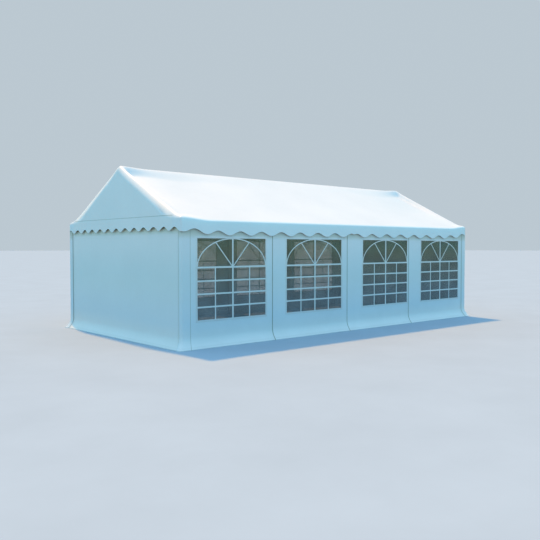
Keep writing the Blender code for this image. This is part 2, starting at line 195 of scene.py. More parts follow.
# Windows
WINDOW_X = (-2.964, -1.009, 1.081, 3.036)       # middles of the four openings
WINDOW_BOTTOM = 0.451
WINDOW_TOP = 1.787
WINDOW_WIDTH = 1.456
FILM_BACK = 0.0032          # how far the film lies behind the wall's face
FILM_LAP = 0.018            # how far it runs on behind the cloth, all round
FILM_WAVE = (0.0006, 5.1, 4.3)      # its waves: their height, radians per metre along it, up it
FILM_GRID = (25, 23)        # its lines of points, along it and up it
BAR_FOOT = 0.0030           # how far the bars' feet lie behind the wall's face
BAR_LAP = 0.01              # how far the bars run on under the border
CROSS_BARS = (0.479, 0.700, 0.912, 1.125)       # cross bars, down from the opening's top
ARCH_INSET = (0.004, 0.006)     # how far the arch stays inside the opening's sides, and its top
ARCH_POINTS = 57
SPOKE_END = 0.49            # where a spoke meets the arch, as a share of the half width
BARS = {                    # width as a share of the middle bar's, and height over the film
    "upright": (1.0, 0.0030),
    "spring": (0.95, 0.0025),
    "cross": (0.85, 0.0025),
    "thin": (0.72, 0.0021),
    "arch": (0.56, 0.0017),
    "spoke": (0.56, 0.0013),
}
STRIP_EASE = 0.003          # greatest width of a bar's eased edges
STRIP_FOOT = 0.0006         # how far a bar's foot is sunk below its path
OUTWARD = (0.0, -1.0, 0.0)  # direction that the front's cloth faces

# Painted shade and light: tints that the cloth takes where the piece's point attribute of that
# name is 1
PAINTED_TINTS = {
    "softness": (0.84, 1.0, 1.08),          # painted cool shade over the gables' rolls, where the normal is bent up
    "hollow": (0.72, 0.86, 0.93),           # shaded side of the hollow below the ridge
    "eave": (1.0, 1.10, 1.10),              # painted sky light: eave and valance of a long side, bluer and brighter
    "under_cover": (0.66, 0.56, 0.26),      # wall in the shade of the valance
    "end_painted_warmth": (1.035, 1.0, 0.965),       # painted warm light on the shaded gables and end walls
}
# Tint of seams, laps and welds, and of the painted shade on a wall just below the valance
SEAM_AND_SHADE_TINT = (0.40, 0.44, 0.35)
# Painted shade: the cloth darker and cooler between foot and valance, most from 0.44 to 1.10 m up
PAINTED_HEIGHT_SHADE = ((0.06, 1.0, 1.0, 1.0), (0.44, 0.80, 0.91, 0.98), (1.10, 0.825, 0.93, 0.95),
                (1.90, 1.0, 1.0, 1.0))      # height, and the cloth's tint there
TINT_SPAN = 2.0             # height that the whole range of those tints stands for
THREADS = 130.0             # scale of the weave's bands
BINDING = ((0.86, 0.93, 0.97), 0.38)        # edge binding: colour, roughness
BINDING_OVER = 0.0013       # how far it stands out from either face of the cloth
BINDING_SHAPE = (0.010, 0.0085, 0.0018)     # how far up it reaches, where up there it begins to
                                            # thin, and how far it goes below the cloth's edge
STRIP = ((0.82, 0.82, 0.82), 0.36)          # welded window strips: colour, roughness
FILM_PAINTED_LIGHT = (1.10, 0.86, 0.44)      # painted warm light in the film's upper part
FILM_PAINTED_LIGHT_HEIGHTS = (0.7, 1.6)             # heights between which it takes that tint
FILM_ALPHA = 0.42

# Stage
FLOOR_REACH = 300.0
FLOOR_STEPS = 41
FLOOR_DROP = 0.001          # how far the floor lies below the ground line
FLOOR_SEEN = 1.7            # how much paler the camera sees the floor than the light does
FILL_LOW = (0.20, 0.80, 1.03)       # cool fill light, from the level of the floor
FILL_HIGH = (0.65, 0.80, 1.03)      # and from overhead
BACKDROP = (0.50, 0.58, 0.64)
KEY_DIRECTION = (0.08, 0.45, 0.89)  # toward the key light
KEY_POWER = 3.4
KEY_COLOUR = (1.0, 0.50, 0.15)
KEY_ANGLE = 3.0             # width of the key light, in degrees
PHOTO_SIDE = 540.0          # width of the photograph, in pixels
FOCAL_LENGTH = 653.83       # of its camera, in the same pixels
SENSOR = 36.0               # width of the sensor, in millimetres
VIEW_END = 1000.0
CAMERA_PLACE = (-9.7406, -10.6707, 1.6377)
CAMERA_YAW = 0.850754       # radians from +X toward +Y
CAMERA_PITCH = 0.0347995    # radians below the level


class MarqueeSizes(bpy.types.PropertyGroup):
    """Sizes that a user would change."""

    cloth: bpy.props.FloatProperty(
        name="Cloth", description="Thickness of the coated cloth", default=0.0014, unit="LENGTH"
    )
    roof_sag: bpy.props.FloatProperty(
        name="Roof sag", description="How far the roof sinks between two frames",
        default=0.016, unit="LENGTH",
    )
    ripple: bpy.props.FloatProperty(
        name="Ripple", description="Height of the soft ripples in the walls",
        default=0.0035, unit="LENGTH",
    )
    film: bpy.props.FloatProperty(
        name="Film", description="Thickness of the window film", default=0.0008, unit="LENGTH"
    )
    border: bpy.props.FloatProperty(
        name="Window border", description="Width of the welded border round a window",
        default=0.03, unit="LENGTH",
    )
    bar: bpy.props.FloatProperty(
        name="Window bar", description="Width of a window's middle bar",
        default=0.031, unit="LENGTH",
    )


class MarqueeColours(bpy.types.PropertyGroup):
    """Colours that a user would change."""

    cloth: bpy.props.FloatVectorProperty(
        name="Cloth", description="Coated cloth of the cover and walls",
        default=(0.84, 0.88, 0.91), size=3, min=0, max=1, subtype="COLOR",
    )
    # The film's dark default colour is painted shade of the tent's inside seen through it
    film: bpy.props.FloatVectorProperty(
        name="Film", description="Clear window film", default=(0.195, 0.225, 0.250),
        size=3, min=0, max=1, subtype="COLOR",
    )
    steel: bpy.props.FloatVectorProperty(
        name="Steel", description="Galvanised tubes", default=(0.56, 0.58, 0.60),
        size=3, min=0, max=1, subtype="COLOR",
    )
    floor: bpy.props.FloatVectorProperty(
        name="Floor", description="Studio floor", default=(0.24, 0.31, 0.38),
        size=3, min=0, max=1, subtype="COLOR",
    )


# Mesh helpers

def grid_quads(columns, rows, closed=False):
    """Faces of a grid whose point (i, j) has number i * rows + j; closed joins last to first."""
    i = np.arange(columns if closed else columns - 1)[:, None]
    j = np.arange(rows - 1)[None, :]
    k = (i + 1) % columns
    corners = [i * rows + j, k * rows + j, k * rows + j + 1, i * rows + j + 1]
    return np.stack([c + 0 * (i + j) for c in corners], axis=-1).reshape(-1, 4)


def turned(points, quarter_turns):
    """Points turned about the vertical by quarter turns: (x, y) becomes (-y, x) for each one."""
    x, y, z = points[..., 0], points[..., 1], points[..., 2]
    for _ in range(quarter_turns % 4):
        x, y = -y, x
    return np.stack([x, y, z], axis=-1)


def smooth_step(value):
    """An S from 0 to 1: 3 v^2 - 2 v^3 with v held between 0 and 1."""
    v = np.clip(value, 0.0, 1.0)
    return v * v * (3.0 - 2.0 * v)


def rise(value, amount, start, run):
    """0 up to the start, then an S that reaches the amount after the run."""
    return amount * smooth_step((value - start) / run)


def soft_least(a, b, sharpness):
    """The lesser of two values, rounded where they cross: -ln(e^(-k a) + e^(-k b)) / k."""
    return -np.logaddexp(-a * sharpness, -b * sharpness) / sharpness


def joined(shells):
    """Several (points, faces) shells as one."""
    points, faces, first = [], [], 0
    for shell_points, shell_faces in shells:
        points.append(shell_points)
        faces += [[first + k for k in face] for face in shell_faces]
        first += len(shell_points)
    return np.concatenate(points), faces


def piece(name, points, faces, material, uv, marks=None, sharp=None):
    """A mesh object at the origin, from whole arrays, riding on the frame.

    uv is each point's place in the flat cloth. marks holds more numbers for each point, by the
    name of their attribute. Edges turned by more than sharp, in degrees, stay sharp.
    """
    if isinstance(faces, np.ndarray):
        faces = faces.tolist()
    mesh = bpy.data.meshes.new(name)
    mesh.from_pydata(points.reshape(-1, 3).tolist(), [], faces)
    corner = np.empty(len(mesh.loops), np.int32)
    mesh.loops.foreach_get("vertex_index", corner)
    flat = np.asarray(uv, np.float32).reshape(-1, 2)[corner]
    mesh.uv_layers.new(name="cloth").uv.foreach_set("vector", flat.ravel())
    for layer_name, values in (marks or {}).items():
        layer = mesh.attributes.new(layer_name, "FLOAT", "POINT")
        layer.data.foreach_set("value", np.asarray(values, np.float32).ravel())
    mesh.shade_smooth()
    if sharp is not None:
        mesh.set_sharp_from_angle(angle=math.radians(sharp))
    mesh.materials.append(material)
    made = bpy.data.objects.new(name, mesh)
    bpy.context.scene.collection.objects.link(made)
    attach(made, "root")
    return made


def thicken(made, thickness):
    """Gives a sheet its thickness, inward of the face that was worked out."""
    solid = made.modifiers.new("thickness", "SOLIDIFY")
    solid.thickness = thickness
    solid.offset = -1.0


def sweep(path, side, up, profile, closed_path=False):
    """A profile carried along a path.

    A point of the surface is the path's point plus the profile's first number times the side
    direction plus its second number times the up direction. The profile closes on itself, and
    each end of an open path is closed by a face.
    """
    profile = np.asarray(profile, float)
    points = (
        path[:, None, :]
        + profile[None, :, 0, None] * side[:, None, :]
        + profile[None, :, 1, None] * up[:, None, :]
    )
    count, around = len(path), len(profile)
    number = np.arange(count * around).reshape(count, around)
    wrapped = np.concatenate([number, number[:, :1]], axis=1).ravel()
    faces = wrapped[grid_quads(count, around + 1, closed_path)].tolist()
    if not closed_path:
        faces.append(number[0].tolist())
        faces.append(number[-1][::-1].tolist())
    return points.reshape(-1, 3), faces


# Material helpers

def new_material(name):
    """An empty node material and its shader."""
    material = bpy.data.materials.new(name)
    material.use_nodes = True
    tree = material.node_tree
    return material, tree, tree.nodes["Principled BSDF"]


def fill(tree, made, inputs):
    """Links or sets the inputs of a node."""
    for key, value in inputs.items():
        if isinstance(value, bpy.types.NodeSocket):
            tree.links.new(value, made.inputs[key])
        else:
            made.inputs[key].default_value = value


def node(tree, kind, inputs=None, **settings):
    """A node with its settings and inputs."""
    made = tree.nodes.new(kind)
    for key, value in settings.items():
        setattr(made, key, value)
    fill(tree, made, inputs or {})
    return made


def object_place(tree):
    """The place of a point on the piece, in metres."""
    return node(tree, "ShaderNodeTexCoord").outputs["Object"]


def height_of(tree, place):
    """The height of a place."""
    return node(tree, "ShaderNodeSeparateXYZ", {"Vector": place}).outputs["Z"]


def point_value(tree, name):
    """The number that the piece holds for each point under a name, 0 where it has none."""
    return node(tree, "ShaderNodeAttribute", attribute_name=name).outputs["Fac"]


def noise(tree, place, scale, detail, roughness, distortion=0.0):
    """Cloudy noise between 0 and 1."""
    values = {"Vector": place, "Scale": scale, "Detail": detail, "Roughness": roughness,
              "Distortion": distortion}
    return node(tree, "ShaderNodeTexNoise", values).outputs["Fac"]


def ranged(tree, value, start, end, low, high):
    """Runs from low to high, and stays there, as the value runs from start to end."""
    values = {"Value": value, "From Min": start, "From Max": end, "To Min": low, "To Max": high}
    return node(tree, "ShaderNodeMapRange", values).outputs["Result"]


def figure(tree, operation, *values):
    """One operation on numbers."""
    return node(tree, "ShaderNodeMath", dict(enumerate(values)), operation=operation).outputs[0]


def scaled(tree, colour, amount):
    """A colour times a number."""
    values = {0: colour, "Scale": amount}
    return node(tree, "ShaderNodeVectorMath", values, operation="SCALE").outputs["Vector"]


def mixed(tree, amount, colour, other, blend_type="MIX"):
    """A colour blended with another one by an amount."""
    values = {"Factor": amount, "A": colour, "B": other}
    made = node(tree, "ShaderNodeMix", values, data_type="RGBA", blend_type=blend_type)
    return made.outputs["Result"]


def bumped(tree, height, strength, distance, normal=None):
    """The surface's normal, or the one given, bent by the slope of a height."""
    values = {"Height": height, "Strength": strength, "Distance": distance}
    if normal is not None:
        values["Normal"] = normal
    return node(tree, "ShaderNodeBump", values).outputs["Normal"]


def for_camera(tree, other, seen):
    """One shader for the light and another for what the camera sees straight on."""
    direct = node(tree, "ShaderNodeLightPath").outputs["Is Camera Ray"]
    return node(tree, "ShaderNodeMixShader", {0: direct, 1: other, 2: seen}).outputs[0]


# Materials

def painted_height_shade(tree, height):
    """The painted shade that the cloth takes at a height, eased from one listed height to the
    next.
    """
    tint = node(tree, "ShaderNodeValToRGB", {"Fac": figure(tree, "DIVIDE", height, TINT_SPAN)})
    ramp = tint.color_ramp
    ramp.interpolation = "EASE"
    while len(ramp.elements) < len(PAINTED_HEIGHT_SHADE):
        ramp.elements.new(0.5)
    for element, (metres, *colour) in zip(ramp.elements, PAINTED_HEIGHT_SHADE):
        element.position = metres / TINT_SPAN
        element.color = (*colour, 1.0)
    return tint.outputs["Color"]


def seam_and_shade_amount(tree, height):
    """How strongly the seam tint shows: the piece's marks, with painted shade on walls, or a
    gable's weld line.
    """
    away = figure(tree, "ABSOLUTE", figure(tree, "SUBTRACT", height, SEAM_HEIGHT))
    near, far, strength = WELD_MARK
    line = ranged(tree, away, near, far, strength, 0.0)
    weld = figure(tree, "MULTIPLY", line, point_value(tree, "gable"))
    return figure(tree, "MAXIMUM", point_value(tree, "seam"), weld)


def coated_cloth(name, colour, roughness=0.42, seams=True):
    """White coated cloth: a fine weave under a satin coat, soft creases and faint soiling.

    Where a piece is soft, its normal is bent upward, because thin cloth passes light on. The point
    tints and the tint by height paint shade and light into its colour; the seam tint darkens seams
    and welds, and paints the shade below the valance.
    """
    material, tree, shader = new_material(name)
    place = object_place(tree)
    height = height_of(tree, place)
    threads = node(tree, "ShaderNodeUVMap", uv_map="cloth").outputs["UV"]
    shades = {shade: point_value(tree, shade) for shade in PAINTED_TINTS}

    wide = noise(tree, place, 0.9, 3.0, 0.55)
    tone = ranged(tree, wide, 0.3, 0.7, 0.97, 1.02)
    speck = ranged(tree, noise(tree, place, 14.0, 4.0, 0.6), 0.3, 0.7, 0.99, 1.008)
    foot = ranged(tree, height, 0.0, 0.02, 0.90, 1.0)
    shade = figure(tree, "MULTIPLY", figure(tree, "MULTIPLY", tone, speck), foot)

    base = mixed(tree, 1.0, (*colour, 1.0), painted_height_shade(tree, height), "MULTIPLY")
    tints = [(shades[shade], tint) for shade, tint in PAINTED_TINTS.items()]
    if seams:
        tints.append((seam_and_shade_amount(tree, height), SEAM_AND_SHADE_TINT))
    for amount, tint in tints:
        base = mixed(tree, amount, base, (*tint, 1.0), "MULTIPLY")

    facing = node(tree, "ShaderNodeNewGeometry").outputs["Normal"]
    upward = node(tree, "ShaderNodeCombineXYZ", {"Z": shades["softness"]}).outputs[0]
    bent = node(tree, "ShaderNodeVectorMath", {0: facing, 1: upward}, operation="ADD").outputs[0]
    soft = node(tree, "ShaderNodeVectorMath", {0: bent}, operation="NORMALIZE").outputs[0]
    warp, weft = (
        node(tree, "ShaderNodeTexWave", {"Vector": threads, "Scale": THREADS},
             wave_type="BANDS", bands_direction=direction).outputs["Fac"]
        for direction in "XY"
    )
    woven = bumped(tree, figure(tree, "MULTIPLY", warp, weft), 0.25, 0.0002, soft)
    fill(tree, shader, {
        "Base Color": scaled(tree, base, shade),
        "Roughness": ranged(tree, wide, 0.25, 0.75, roughness - 0.05, roughness + 0.07),
        "Normal": bumped(tree, noise(tree, place, 2.6, 2.0, 0.4, 0.6), 0.35, 0.012, woven),
    })
    return material


def clear_film(name, colour):
    """Window film: darkened with painted shade of the tent's inside behind it, warmed above with
    painted light, glossy and a little wavy.
    """
    material, tree, shader = new_material(name)
    place = object_place(tree)
    up = ranged(tree, height_of(tree, place), *FILM_PAINTED_LIGHT_HEIGHTS, 0.0, 1.0)
    warm = [part * tint for part, tint in zip(colour, FILM_PAINTED_LIGHT)]
    painted_shade_and_light = mixed(tree, up, (*colour, 1.0), (*warm, 1.0))
    cloudy = ranged(tree, noise(tree, place, 3.0, 3.0, 0.5), 0.3, 0.7, 0.9, 1.5)
    fill(tree, shader, {
        "Base Color": scaled(tree, painted_shade_and_light, cloudy),
        "Roughness": 0.07,
        "Alpha": FILM_ALPHA,
        "Normal": bumped(tree, noise(tree, place, 2.4, 1.0, 0.3), 0.4, 0.005),
    })
    return material


def galvanised(name, colour):
    """Galvanised steel: grey zinc spangle, dulled in patches."""
    material, tree, shader = new_material(name)
    place = object_place(tree)
    spangle = node(tree, "ShaderNodeTexVoronoi", {"Vector": place, "Scale": 90.0})
    grain = node(tree, "ShaderNodeSeparateColor", {"Color": spangle.outputs["Color"]})
    patch = noise(tree, place, 9.0, 5.0, 0.6)
    light = ranged(tree, grain.outputs["Red"], 0.0, 1.0, 0.86, 1.08)
    dull = ranged(tree, patch, 0.3, 0.7, 0.82, 1.05)
    fill(tree, shader, {
        "Base Color": scaled(tree, colour, figure(tree, "MULTIPLY", light, dull)),
        "Roughness": ranged(tree, patch, 0.25, 0.75, 0.28, 0.5),
        "Metallic": 0.85,
        "Normal": bumped(tree, patch, 0.2, 0.001),
    })
    return material


def studio_floor(name, colour):
    """Matt studio floor with a faint mottle, which the camera sees paler than the light does."""
    material, tree, shader = new_material(name)
    mottle = noise(tree, object_place(tree), 0.8, 6.0, 0.6)
    base = scaled(tree, colour, ranged(tree, mottle, 0.3, 0.7, 0.97, 1.03))
    fill(tree, shader, {"Base Color": base, "Roughness": 0.85, "Specular IOR Level": 0.2})
    pale = node(tree, "ShaderNodeBsdfDiffuse", {"Color": scaled(tree, base, FLOOR_SEEN)})
    both = for_camera(tree, shader.outputs[0], pale.outputs[0])
    fill(tree, tree.nodes["Material Output"], {"Surface": both})
    return material


def shared(name, make, *values):
    """The material of that name, made on first use."""
    return bpy.data.materials.get(name) or make(name, *values)


def cloth_material(context, name):
    """The coated cloth in the colour that the panel holds."""
    return shared(name, coated_cloth, tuple(context.scene.marquee_colours.cloth))


# Cover

def roof_height(x, y, sag):
    """Height of the cover's outer face.

    Ridge height less the slope times a rounded |y|; plus a rise toward both gables that dies
    away along an S; less a sag between frames, a sine squared along x times a parabola across;
    less the hollow below the ridge.
    """
    v = np.abs(y)
    across = np.sqrt(y * y + RIDGE_ROUND ** 2) - RIDGE_ROUND * 0.4
    inward = np.clip(COVER_X - FOLD_X - np.abs(x), 0.0, None)
    lift = rake_lift(v) * smooth_step(1 - inward / LIFT_LENGTH)
    share = v / COVER_Y
    between = np.sin(math.pi * (np.abs(x) % BAY) / BAY) ** 2 * (np.abs(x) < WALL_X)
    sink = sag * between * 4 * share * np.clip(1 - share, 0, None)
    return RIDGE_HEIGHT - SLOPE * across + lift - sink - roof_hollow(inward, v)[0]


def roof_hollow(inward, v):
    """Depth of the hollow below the ridge, and how much light it keeps from the cloth.

    The depth is an S down across the slope and a longer one back up. It is deepest and narrowest
    beside the peaks, and fades along an exponential of the distance in from the gable to a
    trace that clears the inner frames. The shade follows the S's own slope, 4 t (1 - t), and a
    fainter shade goes on down the far side of the hollow.
    """
    out, *from_fold = HOLLOW_START
    trace, peak = HOLLOW_DEPTH
    near, growth = HOLLOW_RUN
    full, beyond = HOLLOW_SHADE
    t = np.clip((v - out) / (near + growth * np.minimum(inward, 1.0)), 0, 1)
    deep = (trace + peak * np.exp(-inward / HOLLOW_FADE)) * rise(inward, 1, *from_fold)
    depth = deep * smooth_step(t) * (1 - rise(v, 1, *HOLLOW_RISE))
    whole, fades = SHADE_ALONG
    fade = full * np.exp(-np.clip(inward - fades, 0, None)) * smooth_step(inward / whole)
    foot = beyond * rise(t, 1, 0.5, 0.5) * (1 - rise(v, 1, *SHADE_DOWN))
    return depth, np.clip(4 * t * (1 - t) + foot, 0, 1) * fade


def rake_lift(v):
    """Rise of a gable's edge over the plain slope: an S down from the peak, one up to the eave."""
    peak = (RIDGE_LIFT - RAKE_LIFT) * smooth_step(1 - v / PEAK_RUN)
    return RAKE_LIFT + peak + rise(v, EAVE_LIFT - RAKE_LIFT, *CORNER_RUN)


def gable_roll(y):
    """Depth and reach of the roll over a gable.

    The depth grows in step with the distance from the ridge, then along an S, and is cut off
    softly where the valance's weld runs. The reach closes to the corner's own along an S.
    """
    v = np.abs(y)
    at_ridge, growth = ROLL_DEPTH
    wide = at_ridge + growth * v + rise(v, *ROLL_GAIN)
    crest = RIDGE_HEIGHT - SLOPE * v + rake_lift(v)
    end = ROLL_END[0] + rise(v, ROLL_END[1] - ROLL_END[0], *ROLL_DIP)
    depth = soft_least(wide, crest - end, ROLL_SHARPNESS)
    closing = smooth_step((COVER_Y - FOLD_Y - v) / ROLL_CLOSING)
    return depth, FOLD_X + (ROLL_REACH - FOLD_X) * closing


def softened(fall, share):
    """How far a roll's normal is bent upward, so that its shade comes on evenly.

    Thin cloth passes light on past a fold. The lit part of a point is the key light's cosine
    times the root of a cubic of how far its true face is turned away. Of evenly spaced bends,
    the one is kept whose lit part is nearest to 1 less the share of the roll that lies between
    the two of ROLL_SHADE.
    """
    key = np.array(KEY_DIRECTION)
    level = key[2] - key[1] * SLOPE
    face = np.stack([-fall, np.full_like(fall, -SLOPE), np.ones_like(fall)], axis=-1)
    face /= np.linalg.norm(face, axis=-1)[..., None]
    begins, full = ROLL_SHADE
    wanted = np.clip((full - share) / (full - begins), 0, 1)
    bends = np.linspace(0, *ROLL_BENDS)
    bent = face[..., None, :] + bends[:, None] * np.array([0.0, 0.0, 1.0])
    bent /= np.linalg.norm(bent, axis=-1)[..., None]
    lit = np.clip(bent @ key, 1e-6, None)
    turned_away = (face @ key)[..., None] / (lit * (bent * face[..., None, :]).sum(-1))
    g = np.clip(turned_away, 0, 1)
    lit = lit * np.sqrt(g + g * g - g ** 3) / level * math.hypot(1, SLOPE)
    return bends[np.abs(lit - wanted[..., None]).argmin(axis=-1)]


def gable_fall(px, py):
    """The roll over the gables at places of the plan: depth, share, part fallen, softness.

    The share runs from 0 where the roll starts to 1 where the cloth hangs plumb, and the part
    of the depth that has fallen is 1 - sqrt(1 - share^2).
    """
    depth, reach = gable_roll(py)
    share = np.clip(1 - (COVER_X - np.abs(px)) / reach, 0, 1)
    fallen = 1 - np.sqrt(1 - share ** 2)
    fall = depth / reach * share / np.sqrt(np.clip(1 - share ** 2, 1e-4, 1))
    step_in, step_down = ROLL_SEEN
    crossed = step_in * reach * share + step_down * depth * fallen
    crossed = crossed / (step_in * reach + step_down * depth)
    before_eave = COVER_Y - FOLD_Y - np.abs(py)
    soft = np.where((share > 0) & (before_eave > 0), softened(fall, crossed), 0.0)
    return depth, share, fallen, soft * smooth_step(before_eave / ROLL_SOFT_END)


def scallops(run, wave, first):
    """Height of a scalloped edge: its middle height plus a cosine that has an arch at first."""
    middle, half, pitch = wave
    return middle + half * np.cos(2 * math.pi * (run - first) / pitch)


def side_edge(x):
    """Height of the valance's edge on a long side.

    Its scallops start anew at mid length. It rises along a parabola over the last metre toward
    each corner.
    """
    near = np.clip(1 - (WALL_X - np.abs(x)), 0, 1)
    return scallops(x, SIDE_WAVE, np.where(x < JOINT_X, *SIDE_ARCHES)) + SIDE_RISE * near ** 2


def end_edge(y):
    """Height of the valance's edge on a gable, y counted toward its right-hand corner."""
    near = np.clip(1 - (WALL_Y - y), 0, 1)
    return scallops(y, END_WAVE, END_ARCH) + END_RISE * near ** 2


def stations(half, reach, pitch, extra):
    """Columns of the cover on both sides of its middle.

    They lie evenly, with the extra ones let in, up to where a roll starts. Past that a column's
    place is the sine of evenly spaced angles.
    """
    inner = half - reach
    even = np.linspace(0, inner, int(round(inner / pitch * SCALLOP_COLUMNS)) + 1)
    step = pitch / SCALLOP_COLUMNS
    far = np.abs(even[:, None] - extra[None, :]).min(axis=1) > step * GIVES_WAY[0]
    far[[0, -1]] = True
    roll = np.sin(np.linspace(0, math.pi / 2, ROLL_STEPS + 1)[1:])
    right = np.concatenate([np.union1d(even[far], extra), inner + reach * roll])
    return np.concatenate([-right[:0:-1], right])


def cover_plan():
    """Places of the cover's points in plan, and how far each is along the rolls of both sides.

    At a corner the square of two rolls is drawn onto a quarter disc, a' = a sqrt(1 - b^2 / 2)
    and b' = b sqrt(1 - a^2 / 2), so that the cover turns the corner in a smooth round.
    """
    beside_gable = COVER_X - FOLD_X - np.array(GABLE_COLUMNS)
    x, y = np.meshgrid(
        stations(COVER_X, FOLD_X, SIDE_WAVE[2], beside_gable),
        stations(COVER_Y, FOLD_Y, END_WAVE[2], np.array(RIDGE_COLUMNS)),
        indexing="ij",
    )
    a = np.clip((np.abs(x) - COVER_X + FOLD_X) / FOLD_X, 0, 1)
    b = np.clip((np.abs(y) - COVER_Y + FOLD_Y) / FOLD_Y, 0, 1)
    round_a = a * np.sqrt(1 - b * b / 2)
    round_b = b * np.sqrt(1 - a * a / 2)
    px = np.sign(x) * (np.minimum(np.abs(x), COVER_X - FOLD_X) + FOLD_X * round_a)
    py = np.sign(y) * (np.minimum(np.abs(y), COVER_Y - FOLD_Y) + FOLD_Y * round_b)
    return px, py, round_a, round_b


def skirt_rows(ring_z, seam, bottom):
    """Heights of the rows below the cover's border, and 1 for each of them below the weld.

    They go down evenly to just over the weld, across it, and on in shares to the lower edge.
    """
    over, under = WELD_ROWS[0], WELD_ROWS[-1]
    upper = np.linspace(0, 1, TRIANGLE_ROWS + 1)[1:-1]
    rows = [ring_z + (seam + over - ring_z) * t for t in upper]
    rows += [seam + d for d in WELD_ROWS]
    rows += [seam + under + (bottom - seam - under) * t for t in VALANCE_ROWS]
    below = [0.0] * len(upper) + [float(d < 0) for d in WELD_ROWS] + [1.0] * len(VALANCE_ROWS)
    return np.stack(rows), np.array(below)


def cover_shades(px, py, rolled, soft, ry, share, fall):
    """The numbers that tint and mark the cloth, for the roof's points and then the skirt's.

    A gable begins half way over its roll, and with it the gable's weld mark and painted warm
    light. Softness and hollow are painted shade. The eave's painted sky light begins just before
    the roll, and halves down the top of the valance.
    """
    inward = np.clip(COVER_X - FOLD_X - np.abs(px), 0, None)
    within = [smooth_step((GABLE_HALF - np.abs(y)) / GABLE_EDGE) for y in (py, ry)]
    roof = {
        "softness": soft,
        "hollow": roof_hollow(inward, np.abs(py))[1],
        "gable": within[0] * rise(rolled, 1, *GABLE_START),
        "eave": rise(np.abs(py), 1, *EAVE_SKY_LIGHT_START) * (1 - smooth_step(rolled * 2)),
    }
    skirt = {
        "gable": within[1] * (share > 0.99),
        "eave": (1 - smooth_step(share * 2)) * (1 - 0.5 * smooth_step(fall / EAVE_SKY_LIGHT_FALL)),
    }
    shades = {
        name: np.append(values, np.broadcast_to(skirt.get(name, 0.0), fall.shape))
        for name, values in roof.items()
    }
    return {**shades, "end_painted_warmth": shades["gable"]}


def cover_surface(sag):
    """The whole cover as one sheet: its points, faces, cloth UV, shades and edge ring.

    The roof is a height over the plan. In a roll it drops by depth (1 - sqrt(1 - r^2)), r being
    0 where the roll starts and 1 where the cloth hangs plumb. The roll over a gable reaches
    further in than the plan's own corner zone. From there rows hang straight down to the
    scalloped edge, all round the plan's border.
    """
    px, py, a, b = cover_plan()
    radius = np.clip(np.sqrt(a * a + b * b), 0, 1)
    end_share = np.where(radius > 1e-9, a * a / np.maximum(radius ** 2, 1e-12), 0.0)
    depth, rolled, fallen, soft = gable_fall(px, py)
    drop = np.where(
        np.abs(py) > COVER_Y - FOLD_Y,
        (end_share * depth + (1 - end_share) * EAVE_ROLL) * (1 - np.sqrt(1 - radius ** 2)),
        depth * fallen,
    )
    z = roof_height(px, py, sag) - drop
    top = np.stack([px, py, z], axis=-1).reshape(-1, 3)

    nx, ny = z.shape
    number = np.arange(nx * ny).reshape(nx, ny)
    ring = np.concatenate(
        [number[:, 0], number[-1, 1:], number[-2::-1, -1], number[0, -2:0:-1]]
    )
    rx, ry, rz = top[ring].T
    share = end_share.ravel()[ring]
    out_x = np.sign(rx) * a.ravel()[ring] / FOLD_X
    out_y = np.sign(ry) * b.ravel()[ring] / FOLD_Y
    size = np.hypot(out_x, out_y)
    out_x, out_y = out_x / size, out_y / size

    bottom = share * end_edge(np.where(rx < 0, -ry, ry))
    bottom = bottom + (1 - share) * side_edge(np.where(ry < 0, rx, -rx))
    under_roof = rz - SEAM_DROP
    level = soft_least(SEAM_HEIGHT, under_roof, SEAM_SHARPNESS)
    seam = share * level + (1 - share) * under_roof
    heights, below_weld = skirt_rows(rz, seam, bottom)
    fall = rz[None, :] - heights
    on_gable = smooth_step((share - 0.5) * 4) * (rz > SEAM_HEIGHT + WELD_END)
    along = np.where(np.abs(rx) > COVER_X - FOLD_X * 1.01, ry, rx)
    swing, length, phase = FLUTTER
    flutter = swing * np.clip(fall / FLUTTER_FALL, 0, 1)
    flutter = flutter * np.sin(2 * math.pi * along / length + phase)[None, :]
    proud = flutter + WELD_STEP * below_weld[:, None] * on_gable[None, :]
    skirt = np.stack([rx + out_x * proud, ry + out_y * proud, heights], axis=-1)

    rows_down, around = heights.shape
    below = nx * ny + np.arange(rows_down * around).reshape(rows_down, around)
    columns = np.concatenate([ring[None, :], below], axis=0).T
    skirt_quads = columns.ravel()[grid_quads(around, rows_down + 1, closed=True)][:, ::-1]
    points = np.concatenate([top, skirt.reshape(-1, 3)])
    faces = np.concatenate([grid_quads(nx, ny), skirt_quads])
    roof_uv = np.stack([px, py * SLOPE_STRETCH], axis=-1)
    skirt_uv = np.stack(
        [rx + out_x * fall * np.sqrt(share), ry + out_y * fall * np.sqrt(1 - share)], axis=-1
    )
    uv = np.concatenate([roof_uv.reshape(-1, 2), skirt_uv.reshape(-1, 2)])
    shades = cover_shades(px, py, rolled, soft, ry, share, fall)
    outward = np.stack([out_x, out_y, 0 * out_x], axis=-1)
    return points, faces, uv, shades, skirt[-1], outward


def edge_binding(edge, outward, thickness):
    """The bound edge: a rounded strip folded over the scallops, carried all round the cover.

    Its profile is a rounded bar whose long axis points down in the cloth's own plane, at right
    angles to the edge's tangent.
    """
    tangent = np.roll(edge, -1, axis=0) - np.roll(edge, 1, axis=0)
    tangent /= np.linalg.norm(tangent, axis=1)[:, None]
    down = np.cross(outward, tangent)
    down *= -np.sign(down[:, 2:3])
    down /= np.linalg.norm(down, axis=1)[:, None]
    half = thickness / 2 + BINDING_OVER
    reach, full, below = BINDING_SHAPE
    profile = [
        (-reach, half * 0.6), (-full, half), (0.0, half), (below, 0.0),
        (0.0, -half), (-full, -half), (-reach, -half * 0.6),
    ]
    middle = edge - outward * thickness / 2
    return sweep(middle, down, outward, profile[::-1], closed_path=True)


